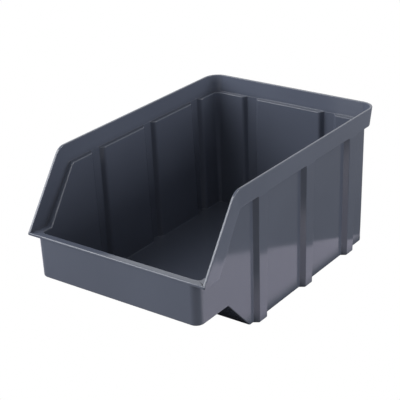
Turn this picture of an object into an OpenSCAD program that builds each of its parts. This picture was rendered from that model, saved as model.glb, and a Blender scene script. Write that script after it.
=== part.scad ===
// Open-fronted stackable storage bin, injection moulded in one piece of polypropylene.
// The moulding is drawn as its named regions: floor, walls, stacking band and lip.
// Axes: X across the bin (left to right), Y from the open front to the rear, Z up.
// Origin: centre of the footprint on the resting plane. Units: mm.

/* [Overall size] */
// outside width across the rim of the stacking band
bin_width = 200; // [150:1:300]
// outside length, front edge of the lip to the rear rim
bin_length = 298.2; // [230:0.1:400]
// height of the rim above the resting plane
bin_height = 147; // [110:0.1:200]
// height of the top of the front lip
lip_height = 78.6; // [60:0.1:100]
// length over which the side rims slope down to the lip
slope_run = 48.8; // [30:0.1:80]

/* [Walls] */
// wall thickness of the moulding
wall = 2.5; // [1.6:0.1:4]
// draft of every wall, degrees from vertical
draft = 1.1; // [0.5:0.05:2]
// outside radius of the rear corners of the rim
rear_radius = 16; // [10:0.5:30]
// outside radius of the lower front corners, at lip height
front_radius = 9; // [6:0.5:25]

/* [Stacking band] */
// depth of the band, measured square to the rim
band_depth = 19.7; // [14:0.1:30]
// how far the rim leans out beyond the foot of the band
band_flare = 2.364; // [0:0.001:3]
// radius where the level rim turns into the slope
slope_radius = 15; // [6:0.5:25]

/* [Pilasters] */
// depth of a hollow pilaster, face to panel
rib_depth = 5; // [3:0.1:8]
// width of a pilaster's face
rib_width = 14.6; // [8:0.2:24]
// lean of a pilaster's flanks, degrees from square
rib_flank = 32; // [10:1:50]
// position of the front pair of side pilasters along Y
rib_first = -54.7; // [-68:0.1:-40]
// spacing of the three side pilasters
rib_pitch = 79.6; // [70:0.1:95]
// distance of the two rear pilasters from the centre line
rear_rib = 47.1; // [30:0.1:60]

/* [Front and underside] */
// how far the lip reaches in front of the front wall
lip_reach = 0.6; // [0.2:0.1:8]
// width of the lip's top face
lip_width = 7.5; // [5:0.1:14]
// height of the raised underside below the front wall
step_height = 36; // [20:0.5:45]
// where the raised underside ends, along Y
step_end = -103; // [-120:0.1:-95]
// where the ramp under the front reaches the resting plane, along Y
ramp_foot = -69.5; // [-90:0.1:-67]

/* [Hidden] */
$fn = 96;
e = 0.5;
big = 400;
k = tan(draft);
hw = bin_width / 2;
y_front = -bin_length / 2;
y_rear = bin_length / 2;
z_band = bin_height - band_depth;
// outer planes at the foot of the band
rib_x = hw - band_flare;
panel_x = rib_x - rib_depth;
panel_y = y_rear - band_flare - rib_depth;
// centres of the rear corners
cx = hw - rear_radius;
cy = y_rear - rear_radius;
// underside of the lip, and the side panel and front wall planes there
z_lip = lip_height - wall;
panel_x_lip = panel_x - k * (z_band - z_lip);
fx = panel_x_lip - front_radius;
fy = y_front + lip_reach + front_radius;
// slope of the side rims
slope_angle = atan2(bin_height - lip_height, slope_run);
slope_length = sqrt(pow(bin_height - lip_height, 2) + slope_run * slope_run);
y_corner = y_front + slope_run;
sn = sin(slope_angle);
cs = cos(slope_angle);
// where the foot of the band turns, and where it reaches the lip
y_turn = y_corner + (band_depth - band_depth * cs) / sn;
y_meet = y_turn - (z_band - z_lip) * cs / sn;
// where the front wall region ends on the side panels
y_split = fy + 2;
ft = tan(rib_flank);
fs = sqrt(1 + ft * ft);

// half width of the panel plane at height z, moved inward by d
function px(z, d) = panel_x - k * (z_band - z) - d;
function py(z, d) = panel_y - k * (z_band - z) - d;
function fyp(z, d) = fy - front_radius - k * (z - z_lip) + d;

// solid bounded by the drafted panel planes, moved inward by d, z0 to z1
module tub(d, z0, z1) {
    h = z1 - z0;
    // across the bin between the corner centres
    translate([0, cy, 0]) rotate([90, 0, 0]) linear_extrude(height = cy - fy)
        polygon([[-px(z0, d), z0], [px(z0, d), z0], [px(z1, d), z1], [-px(z1, d), z1]]);
    // rear strip and rear corners
    translate([-cx, 0, 0]) rotate([90, 0, 90]) linear_extrude(height = 2 * cx)
        polygon([[cy - e, z0], [py(z0, d), z0], [py(z1, d), z1], [cy - e, z1]]);
    for (s = [-1, 1]) translate([s * cx, cy, z0])
        cylinder(h = h, r1 = px(z0, d) - cx, r2 = px(z1, d) - cx);
    // front strip and front corners
    translate([-fx, 0, 0]) rotate([90, 0, 90]) linear_extrude(height = 2 * fx)
        polygon([[fy + e, z0], [fyp(z0, d), z0], [fyp(z1, d), z1], [fy + e, z1]]);
    for (s = [-1, 1]) translate([s * fx, fy, z0])
        cylinder(h = h, r1 = px(z0, d) - fx, r2 = px(z1, d) - fx);
}

// plan shape of one pilaster, face on the line x = -d, flanks moved inward by d
module rib_plan(d, reach) {
    a = rib_width / 2 + ft * d - fs * d;
    b = a + ft * (reach - d);
    polygon([[-d, -a], [-d, a], [-reach, b], [-reach, -b]]);
}

// pilaster prisms of the three walls, leaning with the draft, z0 to z1
module ribs(d, z0, z1) {
    intersection() {
        for (s = [0, 1]) mirror([s, 0, 0]) for (i = [0:2])
            translate([rib_x, rib_first + i * rib_pitch, z_band]) rotate([0, draft, 0])
                translate([0, 0, -big / 2]) linear_extrude(height = big)
                    rib_plan(d, rib_depth + d + e);
        translate([-big / 2, -big / 2, z0]) cube([big, big, z1 - z0]);
    }
    intersection() {
        for (s = [-1, 1])
            translate([s * rear_rib, y_rear - band_flare, z_band]) rotate([0, 0, 90]) rotate([0, draft, 0])
                translate([0, 0, -big / 2]) linear_extrude(height = big)
                    rib_plan(d, rib_depth + d + e);
        translate([-big / 2, -big / 2, z0]) cube([big, big, z1 - z0]);
    }
}

// a YZ polygon swept across the bin from x0 to x1
module across(x0, x1, pts) {
    translate([x0, 0, 0]) rotate([90, 0, 90]) linear_extrude(height = x1 - x0) polygon(pts);
}

// the moulded wall: panels and pilasters less the space inside them
module shell(z0, z1) {
    difference() {
        union() {
            tub(0, z0, z1);
            ribs(0, z0, z1);
        }
        tub(wall, z0 - 1, z1 + 1);
        ribs(wall, z0 - 1, z1 + 1);
    }
}

module side_wall(s) {
    x0 = s < 0 ? -hw - 5 : fx * 0.8;
    x1 = s < 0 ? -fx * 0.8 : hw + 5;
    color([0.36, 0.38, 0.42]) intersection() {
        shell(0, z_band);
        across(x0, x1, [[cy, 0], [cy, z_band], [y_turn, z_band], [y_meet, z_lip], [y_split, z_lip],
                        [y_split, step_height], [step_end, step_height], [ramp_foot, 0]]);
    }
}

module rear_wall() {
    color([0.34, 0.36, 0.40]) intersection() {
        shell(0, z_band);
        translate([-hw - 5, cy, 0]) cube([2 * hw + 10, 30, z_band]);
    }
}

module front_wall() {
    color([0.42, 0.43, 0.47]) intersection() {
        shell(step_height, z_lip);
        translate([-hw - 5, y_front - 5, step_height]) cube([2 * hw + 10, y_split - y_front + 5, z_lip - step_height]);
    }
}

module floor_pan() {
    // normal offset of the ramp by one wall thickness
    r = sqrt(pow(ramp_foot - step_end, 2) + step_height * step_height);
    m = (ramp_foot - step_end) / step_height;
    oy = wall * step_height / r;
    oz = wall * (ramp_foot - step_end) / r;
    color([0.30, 0.32, 0.36]) intersection() {
        union() {
            tub(wall, 0, step_height + wall);
            ribs(wall, 0, step_height + wall);
        }
        across(-hw, hw, [[y_rear, 0], [ramp_foot, 0], [step_end, step_height], [y_front, step_height],
                         [y_front, step_height + wall],
                         [ramp_foot + oy + (oz - step_height - wall) * m, step_height + wall],
                         [ramp_foot + oy + (oz - wall) * m, wall], [y_rear, wall]]);
    }
}

// section of the band: rim at z = 0, ledge reaching in past the panel's inner plane
module band_section() {
    f = band_flare / band_depth;
    n = band_depth - wall;
    inner = panel_x_lip - wall - 2;
    polygon([[hw, 0], [hw - wall, 0], [hw - wall - f * n, -n], [inner, -n],
             [inner, -band_depth], [hw - band_flare, -band_depth]]);
}

// space outside a plane leaning in by the flare: x0 = its half width at the rim,
// first below the level rim, then below the sloping rim
module outside_level(x0) {
    f = band_flare / band_depth;
    translate([0, cy + 10, bin_height]) rotate([90, 0, 0]) linear_extrude(height = big)
        polygon([[x0 + f * 20, 20], [x0 - f * 100, -100], [x0 + 30, -100], [x0 + 30, 20]]);
}

module outside_slope(x0) {
    f = band_flare / band_depth;
    translate([0, y_corner, bin_height]) rotate([slope_angle, 0, 0]) translate([0, 300, 0])
        rotate([90, 0, 0]) linear_extrude(height = big + 50)
            polygon([[x0 + f * 40, 40], [x0 - f * 300, -300], [x0 + 30, -300], [x0 + 30, 40]]);
}

module outside(x0) {
    intersection() {
        outside_level(x0);
        outside_slope(x0);
    }
}

// line at depth d below the rim: where it turns, and its Y at height z on the slope
function turn_y(d) = y_corner + (d - d * cs) / sn;
function slope_y(d, z) = turn_y(d) - (bin_height - d - z) * cs / sn;

// side and slope of the band on one side of the bin
module band_side() {
    x0 = panel_x_lip - wall - 2;
    n = band_depth - wall;
    difference() {
        across(x0, hw, [[cy, bin_height], [y_corner, bin_height], [slope_y(0, lip_height), lip_height],
                        [slope_y(band_depth, lip_height), lip_height], [turn_y(band_depth), z_band], [cy, z_band]]);
        outside(hw);
        difference() {
            across(x0 - 1, hw, [[cy + 1, bin_height + 5], [y_corner - 10, bin_height + 5], [slope_y(-5, lip_height - 1), lip_height - 1],
                                [slope_y(n, lip_height - 1), lip_height - 1], [turn_y(n), bin_height - n], [cy + 1, bin_height - n]]);
            outside(hw - wall);
        }
    }
}

module band_half() {
    band_side();
    // rear corner
    translate([cx, cy, bin_height]) rotate_extrude(angle = 90) translate([-cx, 0]) band_section();
    // rear half
    translate([0, 0, bin_height]) rotate([90, 0, 90]) linear_extrude(height = cx)
        translate([y_rear - hw, 0]) band_section();
}

module stacking_band() {
    t = slope_radius * tan(slope_angle / 2);
    yc = y_corner + t;
    zc = bin_height - slope_radius;
    color([0.46, 0.47, 0.51]) difference() {
        for (s = [0, 1]) mirror([s, 0, 0]) band_half();
        // space inside the side panels and the pilasters
        tub(wall, z_lip - 10, z_band + wall + 1);
        ribs(wall, z_lip - 10, z_band + wall + 0.01);
        // round the rim where it turns down
        across(-hw - 5, hw + 5, concat([[y_corner - e * 2, bin_height + 1], [yc, bin_height + 1]],
            [for (a = [0:slope_angle / 12:slope_angle + 0.001]) [yc - slope_radius * sin(a), zc + slope_radius * cos(a)]],
            [[yc - slope_radius * sn - 2 * sn, zc + slope_radius * cs + 2 * cs]]));
    }
}

module front_lip() {
    color([0.50, 0.51, 0.55]) difference() {
        across(-hw, hw, [[y_front, z_lip + 0.6], [y_front + 0.6, z_lip], [y_meet, z_lip], [y_meet + wall * cs / sn, lip_height],
                         [y_front + 0.6, lip_height], [y_front, lip_height - 0.6]]);
        // the opening behind the lip
        difference() {
            tub(wall, z_lip - 1, lip_height + 1);
            translate([-hw, y_front, z_lip - 2]) cube([2 * hw, lip_width, wall + 4]);
        }
    }
}

floor_pan();
front_wall();
side_wall(-1);  // side_wall_left
side_wall(1);  // side_wall_right
rear_wall();
stacking_band();
front_lip();
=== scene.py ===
"""Stackable open-front storage bin: one injection-moulded shell built round the CAD frame.

X runs across the bin, -Y is its open front, Z is up from the floor it stands on. The shell is
worked out in mm as a grid: each column is a section through the wall, running from the underside
up the outside, over the rim and down the inside to the floor. The half at +X is built from the
middle of the front round to the middle of the rear, then mirrored.
"""
import math

import bpy
import numpy as np
from mathutils import Matrix, Vector


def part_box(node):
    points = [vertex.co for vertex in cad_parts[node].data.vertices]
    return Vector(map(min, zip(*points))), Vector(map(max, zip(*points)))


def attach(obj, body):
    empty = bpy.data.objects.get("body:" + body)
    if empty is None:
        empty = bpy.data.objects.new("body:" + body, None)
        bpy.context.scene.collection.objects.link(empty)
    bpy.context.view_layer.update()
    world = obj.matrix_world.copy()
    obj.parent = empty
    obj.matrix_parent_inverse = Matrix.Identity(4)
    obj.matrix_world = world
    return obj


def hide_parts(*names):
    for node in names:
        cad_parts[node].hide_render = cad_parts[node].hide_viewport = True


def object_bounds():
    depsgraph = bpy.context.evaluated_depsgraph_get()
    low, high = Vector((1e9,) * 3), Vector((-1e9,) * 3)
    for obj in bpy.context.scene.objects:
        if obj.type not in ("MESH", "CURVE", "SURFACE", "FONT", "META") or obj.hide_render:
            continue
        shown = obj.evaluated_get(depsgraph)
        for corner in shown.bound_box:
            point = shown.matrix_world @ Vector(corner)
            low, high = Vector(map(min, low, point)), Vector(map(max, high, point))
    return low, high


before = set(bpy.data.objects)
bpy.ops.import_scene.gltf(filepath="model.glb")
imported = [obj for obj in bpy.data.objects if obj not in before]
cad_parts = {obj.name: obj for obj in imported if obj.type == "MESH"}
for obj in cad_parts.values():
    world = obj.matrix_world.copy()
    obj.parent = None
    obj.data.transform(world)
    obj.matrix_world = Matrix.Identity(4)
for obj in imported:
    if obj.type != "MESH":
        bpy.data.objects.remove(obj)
cad_lo, cad_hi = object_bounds()


def box_mm(name):
    low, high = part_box(name)
    return [c * 1000 for c in low], [c * 1000 for c in high]


# ---------------------------------------------------------------- sizes, mm
HALF_WIDTH, TOP = cad_hi.x * 1000, cad_hi.z * 1000
FRONT, REAR = cad_lo.y * 1000, cad_hi.y * 1000
lip_lo, lip_hi = box_mm("front_lip")
side_hi = box_mm("side_wall_right")[1]
front_wall_lo = box_mm("front_wall")[0]

LIP_TOP, LIP_BASE = lip_hi[2], lip_lo[2]
WALL = LIP_TOP - LIP_BASE               # wall thickness
STEP_Z = front_wall_lo[2]               # height of the raised underside at the front
DRAFT = math.tan(math.radians(1.1))
RIB_DEPTH = 5.0                         # how far a pilaster stands out

# stacking band: the outward step that runs under the rim
BAND_Z = side_hi[2]                     # foot of the band
BAND_X = side_hi[0]                     # half width at its foot
BAND = TOP - BAND_Z                     # band depth
FLARE = HALF_WIDTH - BAND_X             # outward lean over that depth
LEDGE = BAND - WALL                     # depth of the inner ledge below the rim
LEDGE_FLARE = FLARE * LEDGE / BAND
LEDGE_Z = TOP - LEDGE

# wall planes and plan corners
SIDE_PANEL = BAND_X - RIB_DEPTH         # side panel's x at the band's foot
REAR_PANEL = REAR - FLARE - RIB_DEPTH   # rear panel's y at the band's foot
FRONT_PANEL = front_wall_lo[1]          # front wall's y under the lip
REAR_RADIUS, FRONT_RADIUS = 16.0, 9.0
REAR_CX, REAR_CY = HALF_WIDTH - REAR_RADIUS, REAR - REAR_RADIUS
FRONT_CX = SIDE_PANEL - DRAFT * (BAND_Z - LIP_BASE) - FRONT_RADIUS
FRONT_CY = FRONT_PANEL + FRONT_RADIUS
LIP_INNER = FRONT + 7.5                 # inner edge of the lip's top

# underside: raised at the front, then a ramp down to the level part
RAMP_START, RAMP_END = -103.0, -69.5

# pilasters
RIBS_Y = [-54.7, 24.9, 104.5]           # on each side
RIB_X = 47.1                            # one on each half of the rear
RIB_HALF_TOP, RIB_HALF_FOOT = 7.3, 5.9  # half width of the face
FLANK = 0.625                           # flank run per mm of depth
FLANK_LENGTH = math.sqrt(1 + FLANK * FLANK)

# sloping rim, from the lip up to the level rim
SLOPE_RUN = 48.8
SLOPE = math.atan2(TOP - LIP_TOP, SLOPE_RUN)
SIN, COS = math.sin(SLOPE), math.cos(SLOPE)
SLOPE_END = FRONT + SLOPE_RUN
TURN_REACH = 4.0                        # how far the turn's columns reach along the band's foot
LIP_LEAN = 0.2                          # share of the flare left where the slope meets the lip
LIP_RUN = (BAND - WALL * COS) / SIN     # length in y where the band's foot stays on the lip
LIP_END = FRONT + LIP_RUN
LIP_END_INNER = FRONT + LEDGE / SIN
RIM_RUN = LIP_RUN * COS - WALL * SIN    # the same stretch, measured along the rim

EDGE_OUT, EDGE_IN = 1.6, 0.7            # bottom edge radii, outside and inside
REACH_OUT, REACH_IN = EDGE_OUT + 0.4, EDGE_IN + 0.4   # flat rows start just past the radius


def side_x(z):
    return SIDE_PANEL - DRAFT * (BAND_Z - z)


def rear_y(z):
    return REAR_PANEL - DRAFT * (BAND_Z - z)


def front_y(z):
    return FRONT_PANEL + DRAFT * (LIP_BASE - z)


def turn_y(depth):
    """Y where the line this far below the rim turns from the slope to level."""
    return SLOPE_END + (depth - depth * COS) / SIN


# ---------------------------------------------------------------- rounded polylines
def rounded(points, radii, arcs, straights):
    """Round the inner corners of many polylines at once.

    points: one (count, 3) array per corner. Corner k gets radii[k] in arcs[k] steps, and
    straights[k] steps lead to the next. Returns rows of (count, 3) and, for each row, its
    corner and how near it is to the middle of the arc (0 to 1).
    """
    last = len(points) - 1
    points = [np.asarray(p, float) for p in points]
    starts, ends, weights = list(points), list(points), [None] * len(points)
    for k in range(1, last):
        back, ahead = points[k - 1] - points[k], points[k + 1] - points[k]
        back_len = np.linalg.norm(back, axis=1) + 1e-9
        ahead_len = np.linalg.norm(ahead, axis=1) + 1e-9
        back, ahead = back / back_len[:, None], ahead / ahead_len[:, None]
        turn = np.pi - np.arccos(np.clip((back * ahead).sum(1), -1, 1))
        cut = np.asarray(radii[k]) * np.tan(np.clip(turn, 0, 2.6) / 2)
        # neighbouring arcs share a segment; an end segment may be used almost whole
        room = np.minimum(back_len * (0.9 if k == 1 else 0.46),
                          ahead_len * (0.9 if k == last - 1 else 0.46))
        cut = np.maximum(np.minimum(cut, room), room * 0.05)
        starts[k] = points[k] + back * cut[:, None]
        ends[k] = points[k] + ahead * cut[:, None]
        weights[k] = np.cos(turn / 2)[:, None]
    rows, tags = [], []
    for k in range(last + 1):
        if weights[k] is None:
            rows.append(points[k])
            tags.append((k, 0.0))
        else:
            for i in range(arcs[k] + 1):
                t = i / arcs[k]
                before, corner, after = (1 - t) ** 2, 2 * t * (1 - t) * weights[k], t * t
                total = before + corner + after
                rows.append((before * starts[k] + corner * points[k] + after * ends[k]) / total)
                tags.append((k, 1 - abs(2 * t - 1)))
        if k < last:
            for i in range(1, straights[k]):
                t = i / straights[k]
                rows.append(ends[k] * (1 - t) + starts[k + 1] * t)
                tags.append((k, 0.0))
    return rows, tags


def path(points, radii, arcs, straights):
    """One rounded polyline in 2D, as an (n, 2) array."""
    rows, _ = rounded([np.array([[*p, 0.0]]) for p in points], radii, arcs, straights)
    return np.array([row[0, :2] for row in rows])


def ramp_line(offset, start_radius, end_radius):
    """(y, z) line of the underside, or of the floor at an offset of one wall above it."""
    run = RAMP_END - RAMP_START
    length = math.hypot(run, STEP_Z)
    shift = offset * STEP_Z / length + (offset * run / length - offset) * run / STEP_Z
    points = [(FRONT, STEP_Z + offset), (RAMP_START + shift, STEP_Z + offset),
              (RAMP_END + shift, offset), (REAR, offset)]
    return path(points, [0, start_radius, end_radius, 0], [0, 5, 5, 0], [1, 1, 1])


UNDER_LINE = ramp_line(0.0, 4.0, 5.0)
FLOOR_LINE = ramp_line(WALL, 6.4, 2.6)
UNDER_BENDS, FLOOR_BENDS = UNDER_LINE[1:11, 0], FLOOR_LINE[1:11, 0]   # y of columns they need


def under_z(y):
    return float(np.interp(y, UNDER_LINE[:, 0], UNDER_LINE[:, 1]))


def floor_z(y):
    return float(np.interp(y, FLOOR_LINE[:, 0], FLOOR_LINE[:, 1]))


def pilaster(half, root_radius, face_radius):
    """Plan outline of a pilaster whose face is 2 * half wide: (offset along the wall, depth)."""
    root = half + FLANK * RIB_DEPTH
    end = root + 2.2
    points = [(-end, 0), (-root, 0), (-half, RIB_DEPTH), (half, RIB_DEPTH), (root, 0), (end, 0)]
    radii = [0, root_radius, face_radius, face_radius, root_radius, 0]
    return path(points, radii, [0, 4, 4, 4, 4, 0], [1, 2, 3, 2, 1])


INNER_SHIFT = (FLANK - FLANK_LENGTH) * WALL
# [column, place, (offset, depth)]; the places are outside top, outside foot, inside top, inside foot
PILASTER = np.stack([
    pilaster(RIB_HALF_TOP, 0.5, 0.8),
    pilaster(RIB_HALF_FOOT, 0.5, 0.8),
    pilaster(RIB_HALF_TOP + INNER_SHIFT, 3.5, 1.3),
    pilaster(RIB_HALF_FOOT + INNER_SHIFT, 3.5, 1.3),
], axis=1)
FLAT = np.zeros((4, 2))                 # the same places on a plain panel
RIB_END = PILASTER[-1, 0, 0]


def sink(depth):
    """How far below the band's foot a pilaster's face starts to run into it."""
    return 1.2 * max(0.0, min(1.0, (depth - 3.0) / 2.0))


# rear columns from the corner's centre to the middle: (x, outline)
REAR_STATIONS = (
    [(x, FLAT) for x in np.linspace(REAR_CX, RIB_X + RIB_END, 4)[:-1]]
    + [(RIB_X, outline) for outline in PILASTER[::-1]]
    + [(x, FLAT) for x in np.linspace(RIB_X + PILASTER[0, 0, 0], 0, 5)[1:]])
# the same positions as shares of the half width, used for the front, underside and floor too
SHARES = np.array([x + outline[0, 0] for x, outline in REAR_STATIONS]) / REAR_CX


# ---------------------------------------------------------------- columns of the shell
# Each column maps the rails listed in RAILS below to (x, y, z).
def front_columns():
    z_in = STEP_Z + WALL
    y_out, y_in = front_y(STEP_Z), front_y(z_in) + WALL
    return [dict(
        under=(x, y_out + REACH_OUT, STEP_Z), base_out=(x, y_out, STEP_Z),
        wall_top=(x, FRONT_PANEL, LIP_BASE), band_foot=(x, FRONT, LIP_BASE),
        rim_out=(x, FRONT, LIP_TOP), rim_in=(x, FRONT + 2.2, LIP_TOP),
        ledge_root=(x, FRONT + 2.7, LIP_TOP), ledge_edge=(x, LIP_INNER, LIP_TOP),
        base_in=(x, y_in, z_in), floor=(x, y_in + REACH_IN, z_in),
    ) for x in FRONT_CX * SHARES[::-1]]


def lip_rails(q):
    """Rails over the lip: q 0 to 1 along the front to its tip, 1 to 2 back along the side."""
    if q <= 1:
        x = FRONT_CX + (HALF_WIDTH - FRONT_CX) * q
        tip = min(1.0, max(0.0, (q - 0.8) / 0.2))
        rim_y = FRONT + 2.2 * (1 - tip) + 0.7 * tip
        root_y = FRONT + 2.7 * (1 - tip) + 1.1 * tip
        return dict(
            band_foot=(x, FRONT, LIP_BASE), rim_out=(x, FRONT, LIP_TOP),
            rim_in=(min(x, HALF_WIDTH - 0.9 - 1.5 * tip), rim_y, LIP_TOP),
            ledge_root=(min(x, HALF_WIDTH - WALL - 0.05), root_y, LIP_TOP))
    share = q - 1
    foot_y = FRONT + LIP_RUN * share
    foot_depth = (foot_y - FRONT) * SIN + WALL * COS
    root_y = FRONT + 1.1 + (LIP_END_INNER - FRONT - 1.1) * share
    root_depth = (root_y - FRONT) * SIN
    rim = RIM_RUN * share
    rim_y, rim_z = FRONT + rim * COS, LIP_TOP + rim * SIN
    return dict(
        band_foot=(HALF_WIDTH - FLARE * LIP_LEAN * min(1, foot_depth / BAND), foot_y, LIP_BASE),
        rim_out=(HALF_WIDTH, rim_y, rim_z), rim_in=(HALF_WIDTH - WALL, rim_y, rim_z),
        ledge_root=(HALF_WIDTH - WALL - FLARE * LIP_LEAN * root_depth / BAND, root_y, LIP_TOP))


CORNER_SHARE = (FRONT_CY - FRONT) / LIP_RUN   # share of the side lip taken by the front corner


def front_corner_columns(steps=14):
    half, z_in = steps / 2, STEP_Z + WALL
    radius_out = side_x(STEP_Z) - FRONT_CX
    radius_in = side_x(z_in) - WALL - FRONT_CX
    columns = []
    for j in range(1, steps + 1):
        angle = math.pi / 2 * j / steps
        q = j / half if j <= half else 1 + CORNER_SHARE * (j - half) / half

        def at(radius, z, radius_y=None):
            reach_y = radius if radius_y is None else radius_y
            return (FRONT_CX + radius * math.sin(angle), FRONT_CY - reach_y * math.cos(angle), z)

        columns.append(dict(
            under=at(radius_out - REACH_OUT, STEP_Z), base_out=at(radius_out, STEP_Z),
            wall_top=at(FRONT_RADIUS, LIP_BASE),
            ledge_edge=at(side_x(LIP_TOP) - WALL - FRONT_CX, LIP_TOP, FRONT_CY - LIP_INNER),
            base_in=at(radius_in, z_in), floor=at(radius_in - REACH_IN, z_in), **lip_rails(q)))
    return columns


def side_wall(top, root, depth=FLAT[:, 1], base_y=None):
    """Side rails below the band. top, root: (y, z) outside and inside; base_y: y of their feet."""
    out_y, in_y = base_y or (top[0], root[0])
    z_out, z_in = under_z(out_y), floor_z(in_y)
    x_out, x_in = side_x(z_out) + depth[1], side_x(z_in) - WALL + depth[3]
    return dict(
        under=(x_out - REACH_OUT, out_y, z_out), base_out=(x_out, out_y, z_out),
        wall_top=(side_x(top[1]) + depth[0], top[0], top[1] - sink(depth[0])),
        ledge_edge=(side_x(root[1]) - WALL + depth[2], *root),
        base_in=(x_in, in_y, z_in), floor=(x_in - REACH_IN, in_y, z_in))


def side_column(foot, rim, root, lean=1.0, **wall):
    """One side column. foot, rim, root: (y, z) of the band's foot, the rim and the ledge's root."""
    return dict(
        band_foot=(HALF_WIDTH - FLARE * lean, *foot),
        rim_out=(HALF_WIDTH, *rim), rim_in=(HALF_WIDTH - WALL, *rim),
        ledge_root=(HALF_WIDTH - WALL - LEDGE_FLARE * lean, *root),
        **side_wall(foot, root, **wall))


def side_lip_columns():
    """From the front corner to where the band's foot starts to rise."""
    columns = []
    for share in np.linspace(CORNER_SHARE, 1, 4)[1:]:
        rails = lip_rails(1 + share)
        along = (share - CORNER_SHARE) / (1 - CORNER_SHARE)
        inner_y = FRONT_CY + (LIP_END_INNER - FRONT_CY) * along
        wall = side_wall((rails["band_foot"][1], LIP_BASE), (inner_y, LIP_TOP))
        columns.append({**rails, **wall})
    return columns


def slope_columns():
    turn = turn_y(BAND)
    end = turn - TURN_REACH * COS
    bends = np.concatenate([UNDER_BENDS, FLOOR_BENDS + WALL * SIN])
    needed = [y for y in bends if LIP_END + 1.5 < y < end - 0.3]
    stations = np.unique(np.concatenate([np.linspace(LIP_END + 2.2, end, 7), needed]))
    kept = [stations[0]]
    for y in stations[1:]:
        if y - kept[-1] > 0.45:
            kept.append(y)
    kept[-1] = end
    columns = []
    for y in kept:
        z = BAND_Z - (turn - y) * SIN / COS
        share = (y - LIP_END) / (turn - LIP_END)
        ease = share * share * (3 - 2 * share)
        columns.append(side_column(
            (y, z), (y - BAND * SIN, z + BAND * COS), (y - WALL * SIN, z + WALL * COS),
            lean=LIP_LEAN + (1 - LIP_LEAN) * ease))
    return columns


def turn_columns(steps=12):
    """The fan of columns where the rim turns from the slope to level."""
    def turn_path(depth, radius, extra):
        """Evenly spaced (y, z) round the turn of the line at this depth."""
        y, z = turn_y(depth), TOP - depth
        reach = TURN_REACH + extra * math.tan(SLOPE / 2)
        line = path([(y - reach * COS, z - reach * SIN), (y, z), (y + reach, z)],
                    [0, radius, 0], [0, 24, 0], [4, 4])
        lengths = np.linalg.norm(np.diff(line, axis=0), axis=1)
        along = np.concatenate([[0], np.cumsum(lengths)])
        even = np.linspace(0, along[-1], steps + 1)
        return np.stack([np.interp(even, along, line[:, 0]),
                         np.interp(even, along, line[:, 1])], 1)

    foot = turn_path(BAND, 2.0, 0.0)
    rim = turn_path(0.0, 15.0, BAND)
    root = turn_path(LEDGE, 2.6, WALL)
    return [side_column(*points) for points in list(zip(foot, rim, root))[1:]]


def level_columns():
    """The level run of the side, with its pilasters."""
    columns = []
    start = turn_y(BAND) + TURN_REACH
    bends = np.concatenate([UNDER_BENDS, FLOOR_BENDS])
    for centre in RIBS_Y + [None]:
        end = REAR_CY if centre is None else centre - RIB_END
        count = max(2, int(round((end - start) / 13)))
        even = np.linspace(start, end, count + 1)[1:(None if centre is None else -1)]
        needed = [y for y in bends if start + 0.4 < y < end - 0.4]
        stations = np.unique(np.concatenate([even, needed]))
        last = start
        for y in stations:
            if y - last < 0.4 and y != stations[-1]:
                continue
            last = y
            columns.append(side_column((y, BAND_Z), (y, TOP), (y, LEDGE_Z)))
        if centre is None:
            break
        for outline in PILASTER:
            y = centre + outline[:, 0]
            columns.append(side_column((y[0], BAND_Z), (y[0], TOP), (y[2], LEDGE_Z),
                                       depth=outline[:, 1], base_y=(y[1], y[3])))
        start = centre + RIB_END
    return columns


def rear_corner_columns(steps=14):
    x_out, x_in = side_x(0), side_x(WALL) - WALL
    columns = []
    for j in range(1, steps):
        angle = math.pi / 2 * j / steps

        def at(x, z):
            radius = x - REAR_CX
            return (REAR_CX + radius * math.cos(angle), REAR_CY + radius * math.sin(angle), z)

        columns.append(dict(
            under=at(x_out - REACH_OUT, 0), base_out=at(x_out, 0),
            wall_top=at(SIDE_PANEL, BAND_Z), band_foot=at(BAND_X, BAND_Z),
            rim_out=at(HALF_WIDTH, TOP), rim_in=at(HALF_WIDTH - WALL, TOP),
            ledge_root=at(HALF_WIDTH - WALL - LEDGE_FLARE, LEDGE_Z),
            ledge_edge=at(side_x(LEDGE_Z) - WALL, LEDGE_Z), base_in=at(x_in, WALL),
            floor=at(max(x_in - REACH_IN, REAR_CX + 0.2), WALL)))
    return columns


def rear_columns():
    columns = []
    for centre, outline in REAR_STATIONS:
        x, depth = centre + outline[:, 0], outline[:, 1]
        y_out, y_in = rear_y(0) + depth[1], rear_y(WALL) - WALL + depth[3]
        columns.append(dict(
            under=(x[1], y_out - REACH_OUT, 0), base_out=(x[1], y_out, 0),
            wall_top=(x[0], REAR_PANEL + depth[0], BAND_Z - sink(depth[0])),
            band_foot=(x[0], REAR - FLARE, BAND_Z),
            rim_out=(x[0], REAR, TOP), rim_in=(x[0], REAR - WALL, TOP),
            ledge_root=(x[2], REAR - WALL - LEDGE_FLARE, LEDGE_Z),
            ledge_edge=(x[2], rear_y(LEDGE_Z) - WALL + depth[2], LEDGE_Z),
            base_in=(x[3], y_in, WALL), floor=(x[3], y_in - REACH_IN, WALL)))
    return columns


# ---------------------------------------------------------------- grid of the shell
front, corner = front_columns(), front_corner_columns()
side = side_lip_columns() + slope_columns() + turn_columns() + level_columns()
rear = rear_corner_columns() + rear_columns()
columns = front + corner + side + rear
COUNT = len(columns)
column_no = np.arange(COUNT)
is_front = column_no < len(front)
is_rear = column_no >= COUNT - len(rear)
has_band = column_no >= len(front) + len(corner)

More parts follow.
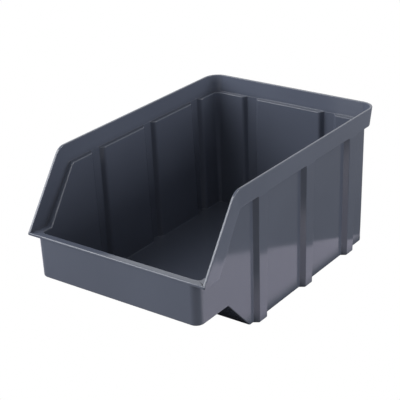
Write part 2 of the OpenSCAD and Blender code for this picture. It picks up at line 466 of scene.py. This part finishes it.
rim_radius = np.where(is_front, 1.0, 0.6)
RAILS = [   # rail, corner radius, steps round it, steps to the next rail, painted edge highlight
    ("under", 0, 0, 1, 0.0),
    ("base_out", EDGE_OUT, 6, 7, 0.6),
    ("wall_top", 0.5, 3, 1, 0.0),
    ("band_foot", 0.9, 3, 4, 0.8),
    ("rim_out", rim_radius, 4, 1, 1.0),
    ("rim_in", rim_radius, 4, 4, 1.0),
    ("ledge_root", np.where(is_rear, 0.25, 0.5), 4, 2, 0.0),
    ("ledge_edge", np.where(is_rear, 0.6, 1.2), 5, 7, 0.9),
    ("base_in", EDGE_IN, 7, 1, 0.0),
    ("floor", 0, 0, 0, 0.0),
]
rail_names, radii, arcs, straights, rail_highlight = zip(*RAILS)
BAND_RAILS = ("band_foot", "rim_out", "rim_in")

rail_points = [np.array([column[name] for column in columns], float) for name in rail_names]
rows, tags = rounded(rail_points, radii, arcs, straights)
grid = np.stack(rows)                   # (rows, columns, 3)
index = np.arange(len(rows) * COUNT).reshape(len(rows), COUNT)
verts = list(grid.reshape(-1, 3))
faces = [(index[r, c], index[r, c + 1], index[r + 1, c + 1], index[r + 1, c])
         for r in range(len(rows) - 1) for c in range(COUNT - 1)]
# painted highlight on the rounded edges, strongest in the middle of each arc
edge_highlight = np.repeat([rail_highlight[k] * middle for k, middle in tags], COUNT)
# rows of the band and rim that get the painted lighter tone
band = np.outer([rail_names[k] in BAND_RAILS for k, _ in tags], has_band).ravel().astype(float)


def close_middle(row, flip):
    """Fill inside a row with rungs from each side column to the middle line."""
    width = len(SHARES)
    first, last = width - 1, COUNT - width       # last front column, first rear column
    previous = index[row, first::-1]
    for c in range(first + 1, last + 1):
        if c == last:
            rung = index[row, last:]
        else:
            x, y, z = grid[row, c]
            rung = [index[row, c], *range(len(verts), len(verts) + width - 1)]
            verts.extend(np.array([x * share, y, z]) for share in SHARES[1:])
        for i in range(width - 1):
            quad = (previous[i], rung[i], rung[i + 1], previous[i + 1])
            faces.append(quad[::-1] if flip else quad)
        previous = rung


close_middle(0, True)                   # underside
close_middle(len(rows) - 1, False)      # floor

# mirror to -X, sharing the middle line
V = np.array(verts)
F = np.array(faces)
V[np.abs(V[:, 0]) < 1e-6, 0] = 0.0
edge_highlight, band = (np.pad(values, (0, len(V) - len(values))) for values in (edge_highlight, band))
mirrored = np.where(V[:, 0] != 0.0)[0]
twin = np.arange(len(V))
twin[mirrored] = len(V) + np.arange(len(mirrored))
V = np.concatenate([V, V[mirrored] * [-1, 1, 1]])
F = np.concatenate([F, twin[F][:, ::-1]])

mesh = bpy.data.meshes.new("bin_moulding")
mesh.from_pydata((V / 1000).tolist(), [], F.tolist())
mesh.validate()
mesh.update()
for name, values in (("edge_highlight", edge_highlight), ("band", band)):
    attribute = mesh.attributes.new(name, "FLOAT", "POINT")
    values = np.concatenate([values, values[mirrored]])
    attribute.data.foreach_set("value", values.astype(np.float32))
mesh.polygons.foreach_set("use_smooth", np.ones(len(mesh.polygons), bool))
shell = bpy.data.objects.new("bin_moulding", mesh)
bpy.context.scene.collection.objects.link(shell)
normals = shell.modifiers.new("normals", "WEIGHTED_NORMAL")
normals.mode = "FACE_AREA"
normals.weight = 50
normals.keep_sharp = True

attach(shell, "root")
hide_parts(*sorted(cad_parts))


# ---------------------------------------------------------------- shader helpers
def empty_tree(owner):
    owner.use_nodes = True
    owner.node_tree.nodes.clear()
    return owner.node_tree


def node(tree, kind, inputs=None, **settings):
    """A shader node; an input given as a socket is linked, any other is set."""
    made = tree.nodes.new("ShaderNode" + kind)
    for name, value in settings.items():
        setattr(made, name, value)
    for key, value in (inputs or {}).items():
        if isinstance(value, bpy.types.NodeSocket):
            tree.links.new(value, made.inputs[key])
        else:
            made.inputs[key].default_value = value
    return made


def calc(tree, operation, *values):
    return node(tree, "Math", dict(enumerate(values)), operation=operation).outputs[0]


def remap(tree, value, start, end, low=0.0, high=1.0, **settings):
    """Map start..end to low..high."""
    return node(tree, "MapRange", {"Value": value, "From Min": start, "From Max": end,
                                   "To Min": low, "To Max": high}, **settings).outputs[0]


def ramp(tree, factor, stops):
    """Colour ramp through (position, colour) stops."""
    made = node(tree, "ValToRGB", {"Fac": factor})
    elements = made.color_ramp.elements
    for i in (0, -1):
        elements[i].position = stops[i][0]
        elements[i].color = (*stops[i][1], 1)
    for position, color in stops[1:-1]:
        elements.new(position).color = (*color, 1)
    return made.outputs["Color"]


def shader(tree, kind, *parts, **inputs):
    """Output of a shader node, from its numbered or named inputs."""
    return node(tree, kind, {**dict(enumerate(parts)), **inputs}).outputs[0]


# ---------------------------------------------------------------- moulded plastic
PIGMENT = (0.079, 0.090, 0.123)
PIGMENT_DARK, PIGMENT_LIGHT = (0.93, 0.93, 0.93), (1.06, 1.06, 1.05)   # slow variation
EDGE_HIGHLIGHT = (0.34, 0.36, 0.40, 1)            # painted highlight colour of the rounded edges
EDGE_HIGHLIGHT_AMOUNT = 0.35
BAND_PAINTED_LIGHT = 0.14                       # painted light: the stacking band is painted paler than the panels, for the brighter light it catches
ROUGHNESS = 0.11


def plastic(name, color):
    material = bpy.data.materials.new(name)
    tree = empty_tree(material)
    place = node(tree, "TexCoord").outputs["Object"]

    def noise(scale, detail, roughness):
        return node(tree, "TexNoise", {"Vector": place, "Scale": scale, "Detail": detail,
                                       "Roughness": roughness}).outputs["Fac"]

    def attribute(name):
        return node(tree, "Attribute", attribute_name=name).outputs["Fac"]

    def tinted(tint):
        return tuple(c * t for c, t in zip(color, tint))

    pigment = ramp(tree, noise(scale=9.0, detail=3.0, roughness=0.55),
                   [(0.3, tinted(PIGMENT_DARK)), (0.7, tinted(PIGMENT_LIGHT))])
    # painted light: the band and rim rows are painted paler
    band_light_scale = calc(tree, "MULTIPLY_ADD", attribute("band"), BAND_PAINTED_LIGHT, 1.0)
    tone = node(tree, "VectorMath", {0: pigment, "Scale": band_light_scale}, operation="SCALE").outputs[0]
    # painted highlight: the rounded edges are mixed towards a pale colour, broken up by noise
    patchy = calc(tree, "MULTIPLY", attribute("edge_highlight"),
                  noise(scale=55.0, detail=4.0, roughness=0.65))
    highlight_share = calc(tree, "MULTIPLY", patchy, EDGE_HIGHLIGHT_AMOUNT)
    # sockets of a colour mix: 0 factor, 6 and 7 the two colours, output 2
    mixed = node(tree, "Mix", {0: highlight_share, 6: tone, 7: EDGE_HIGHLIGHT}, data_type="RGBA").outputs[2]
    # faint smudges in the gloss
    gloss = remap(tree, noise(scale=22.0, detail=5.0, roughness=0.6), 0.3, 0.7,
                  low=ROUGHNESS - 0.03, high=ROUGHNESS + 0.04)
    # slight waviness of the wall, then its fine grain
    wave = node(tree, "Bump", {"Height": noise(scale=26.0, detail=1.0, roughness=0.4),
                               "Strength": 0.35, "Distance": 0.00012})
    grain = node(tree, "Bump", {"Height": noise(scale=1500.0, detail=2.0, roughness=0.6),
                                "Strength": 0.25, "Distance": 0.00003,
                                "Normal": wave.outputs["Normal"]})
    surface = node(tree, "BsdfPrincipled", {"Base Color": mixed, "Roughness": gloss, "IOR": 1.49,
                                            "Normal": grain.outputs["Normal"]})
    node(tree, "OutputMaterial", {0: surface.outputs[0]})
    return material


moulded = plastic("moulded_pp_slate", PIGMENT)
shell.data.materials.append(moulded)
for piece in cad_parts.values():
    piece.data.materials.clear()
    piece.data.materials.append(moulded)

# ---------------------------------------------------------------- stage floor, m
FLOOR_HALF = 6.0
FLOOR_DROP = 0.0002                     # just below the bin
FLOOR_SEEN = 1.0                        # floor brightness for the camera
PAPER_GLOW = 0.70                       # paper brightness in reflections
TABLE_GLOW = 0.08
PAPER_EDGE = 0.166                      # where the paper ends, measured along PAPER_SIDE
PAPER_SIDE = (0.805, 0.593, 0.0)        # towards the right and rear
EDGE_BLUR = 0.002
FRONT_SHADOW_FADE = (-0.085, -0.150)           # y where the paper starts and ends its fade to the darker table tone, a painted shadow of the bin


def stage_white():
    """Plain white to the camera; to other rays, pale paper on a darker table, the paper glowing in
    reflections only, with painted shadow in front of and under the bin.
    """
    material = bpy.data.materials.new("stage_white")
    tree = empty_tree(material)
    rays = node(tree, "LightPath").outputs
    position = node(tree, "NewGeometry").outputs["Position"]
    axes = node(tree, "SeparateXYZ", {0: position}).outputs

    def outside(axis, centre, half):
        offset = calc(tree, "ABSOLUTE", calc(tree, "SUBTRACT", axes[axis], centre))
        return calc(tree, "SUBTRACT", offset, half)

    # distance outside the bin's footprint
    away = calc(tree, "MAXIMUM", outside(0, 0.0, HALF_WIDTH / 1000), outside(1, 0.0, REAR / 1000))

    # the paper's glow is seen in reflections only, and stops at the footprint
    glow = node(tree, "Emission", {"Color": (0.88, 0.77, 1.0, 1), "Strength": PAPER_GLOW})
    reflected = calc(tree, "MULTIPLY", remap(tree, away, -0.006, 0.004), rays["Is Glossy Ray"])
    strength = calc(tree, "MULTIPLY", reflected, PAPER_GLOW)
    tree.links.new(strength, glow.inputs["Strength"])
    paper = shader(tree, "BsdfDiffuse", Color=(0.88, 0.88, 0.88, 1))
    paper = shader(tree, "AddShader", paper, glow.outputs[0])
    table = shader(tree, "AddShader",
                   shader(tree, "BsdfDiffuse", Color=(0.25, 0.25, 0.26, 1)),
                   shader(tree, "Emission", Color=(0.9, 0.95, 1.0, 1), Strength=TABLE_GLOW))

    along = node(tree, "VectorMath", {0: position, 1: PAPER_SIDE}, operation="DOT_PRODUCT")
    past_edge = remap(tree, along.outputs["Value"], PAPER_EDGE - EDGE_BLUR, PAPER_EDGE + EDGE_BLUR)
    # painted shadow: in front of the bin the floor takes the darker table tone
    in_painted_shadow = remap(tree, axes[1], *FRONT_SHADOW_FADE, interpolation_type="SMOOTHSTEP")
    off_paper = calc(tree, "MAXIMUM", past_edge, in_painted_shadow)
    ground = shader(tree, "MixShader", off_paper, paper, table)
    # painted shadow: the floor under the bin is near black
    under_bin_shadow = shader(tree, "BsdfDiffuse", Color=(0.02, 0.02, 0.02, 1))
    ground = shader(tree, "MixShader", remap(tree, away, -0.002, -0.010), ground, under_bin_shadow)
    seen = shader(tree, "Emission", Color=(1, 1, 1, 1), Strength=FLOOR_SEEN)
    node(tree, "OutputMaterial",
         {0: shader(tree, "MixShader", rays["Is Camera Ray"], ground, seen)})
    return material


floor_mesh = bpy.data.meshes.new("stage_floor")
floor_corners = [(x * FLOOR_HALF, y * FLOOR_HALF, 0) for x, y in ((-1, -1), (1, -1), (1, 1), (-1, 1))]
floor_mesh.from_pydata(floor_corners, [], [(0, 1, 2, 3)])
floor = bpy.data.objects.new("stage_floor", floor_mesh)
floor.location.z = -FLOOR_DROP
bpy.context.scene.collection.objects.link(floor)
floor.data.materials.append(stage_white())

# ---------------------------------------------------------------- room and lamps
# (height of the view direction, brightness), from the horizon up
SKY = [(0.0, 0.12), (0.2, 0.25), (0.45, 0.44), (0.7, 0.43), (1.0, 0.42)]
LAMP_TARGET = (0, 0, 0.07)
LAMPS = [   # name, place, size (m), power (W)
    ("key_front_left", (-0.96, -1.00, 0.93), (1.4, 1.4), 36.0),
    ("rear_right", (1.27, 0.45, 0.47), (0.7, 0.5), 10.2),
    ("rear_left", (-0.84, 1.08, 0.72), (1.1, 0.6), 1.7),
]


def studio():
    """White to the camera; the SKY brightness to other rays."""
    world = bpy.data.worlds.new("studio")
    tree = empty_tree(world)
    axes = node(tree, "SeparateXYZ", {0: node(tree, "TexCoord").outputs["Generated"]}).outputs
    sky = ramp(tree, axes[2], [(height, (value,) * 3) for height, value in SKY])
    room = shader(tree, "Background", Color=sky, Strength=1.0)
    seen = shader(tree, "Background", Color=(1, 1, 1, 1), Strength=1.0)
    to_camera = node(tree, "LightPath").outputs["Is Camera Ray"]
    node(tree, "OutputWorld", {0: shader(tree, "MixShader", to_camera, room, seen)})
    return world


def lamp(name, place, size, power):
    light = bpy.data.lights.new(name, "AREA")
    light.shape = "RECTANGLE"
    light.size, light.size_y = size
    light.energy = power
    holder = bpy.data.objects.new(name, light)
    bpy.context.scene.collection.objects.link(holder)
    holder.location = place
    holder.visible_camera = False
    holder.rotation_mode = "QUATERNION"
    aim = Vector(LAMP_TARGET) - Vector(place)
    holder.rotation_quaternion = aim.to_track_quat("-Z", "Y")


bpy.context.scene.world = studio()
for settings in LAMPS:
    lamp(*settings)

# ---------------------------------------------------------------- camera
AZIMUTH, ELEVATION, ROLL = map(math.radians, (36.1487, 24.1423, -2.0490))
# middle of the lip's front top edge, in the bin's frame and in the camera's (right, up, back)
ANCHOR = np.array([0.0, FRONT, LIP_TOP])
ANCHOR_SEEN = HALF_WIDTH * np.array([-0.89422, -0.52878, -10.42284])

back = np.array([math.sin(AZIMUTH) * math.cos(ELEVATION),
                 -math.cos(AZIMUTH) * math.cos(ELEVATION), math.sin(ELEVATION)])
right = np.array([math.cos(AZIMUTH), math.sin(AZIMUTH), 0.0])
up = np.cross(back, right)
cos_roll, sin_roll = math.cos(ROLL), math.sin(ROLL)
camera_axes = np.stack([right * cos_roll + up * sin_roll, up * cos_roll - right * sin_roll, back], 1)
pose = np.eye(4)
pose[:3, :3] = camera_axes
pose[:3, 3] = (ANCHOR - camera_axes @ ANCHOR_SEEN) / 1000

lens = bpy.data.cameras.new("camera")
camera = bpy.data.objects.new("camera", lens)
bpy.context.scene.collection.objects.link(camera)
camera.matrix_world = Matrix(pose.tolist())
lens.sensor_width = 36.0
lens.lens = 107.41473
lens.shift_x, lens.shift_y = -0.03562, -0.004765
lens.clip_start, lens.clip_end = 0.05, 50
bpy.context.scene.camera = camera
bpy.context.scene.view_settings.view_transform = "Standard"
bpy.context.scene.view_settings.look = "None"
